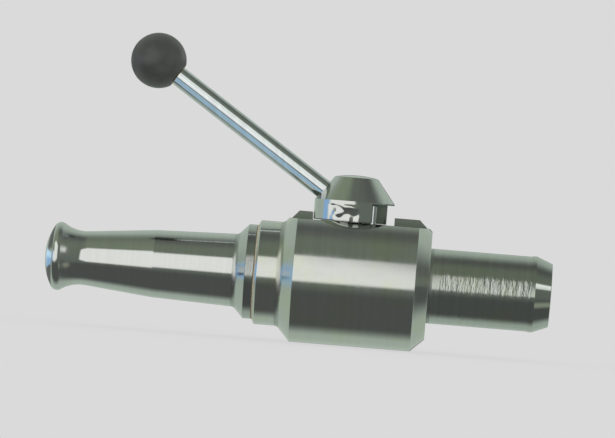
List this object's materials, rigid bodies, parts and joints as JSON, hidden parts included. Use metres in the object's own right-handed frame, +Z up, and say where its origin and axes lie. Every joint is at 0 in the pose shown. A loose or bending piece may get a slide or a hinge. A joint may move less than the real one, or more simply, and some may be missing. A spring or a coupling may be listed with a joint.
{
  "type": "ball valve jet nozzle",
  "caption": "Turned stainless-steel jet nozzle with a quarter-turn ball valve, an inclined lever with a ball knob, and a plain hose stem with an end barb.",
  "frame": {"origin": "on the flow axis, in the shoulder at the back of the body that the hose end butts against", "axes": "+X along the flow axis towards the hose end, +Z up along the spindle towards the lever, +Y to complete a right-handed set"},
  "size_m": [0.2276, 0.06, 0.1339],
  "materials": {
    "body_steel": "polished, turned",
    "nozzle_steel": "polished, turned",
    "stem_steel": "turned, not polished",
    "hub_steel": "polished, turned",
    "rod_steel": "polished",
    "spindle_steel": "machined",
    "ball_chrome": "mirror polished",
    "black_steel": "black oxide",
    "brass": "machined",
    "white_plastic": "moulded, waxy",
    "khaki_fibre": "pressed fibre",
    "knob_plastic": "moulded, satin"
  },
  "bodies": {
    "valve": {"valve_body": "body_steel", "hose_stem": "stem_steel", "stem_gasket": "white_plastic", "jet_nozzle": "nozzle_steel", "nozzle_gasket": "khaki_fibre", "front_seat": "white_plastic", "rear_seat": "white_plastic", "thrust_washer": "white_plastic", "packing_rings": "white_plastic", "gland_follower": "brass", "gland_nut": "spindle_steel", "slide_washer": "white_plastic", "stop_pin": "spindle_steel"},
    "lever": {"spindle": "spindle_steel", "lever_hub": "hub_steel", "hub_set_screw": "black_steel", "lever_rod": "rod_steel", "ball_knob": "knob_plastic", "knob_bush": "brass"},
    "ball": {"valve_ball": "ball_chrome"}
  },
  "joints": [
    {"name": "lever_turn", "type": "hinge", "parent": "valve", "child": "lever", "pos_m": [-0.036, 0, 0], "axis": [0, 0, 1], "range_deg": [-90, 0]},
    {"name": "ball_turn", "type": "hinge", "parent": "valve", "child": "ball", "pos_m": [-0.036, 0, 0], "axis": [0, 0, 1], "range_deg": [-90, 0]}
  ],
  "couplings": [
    {"joint": "ball_turn", "follows": "lever_turn", "ratio": 1}
  ]
}
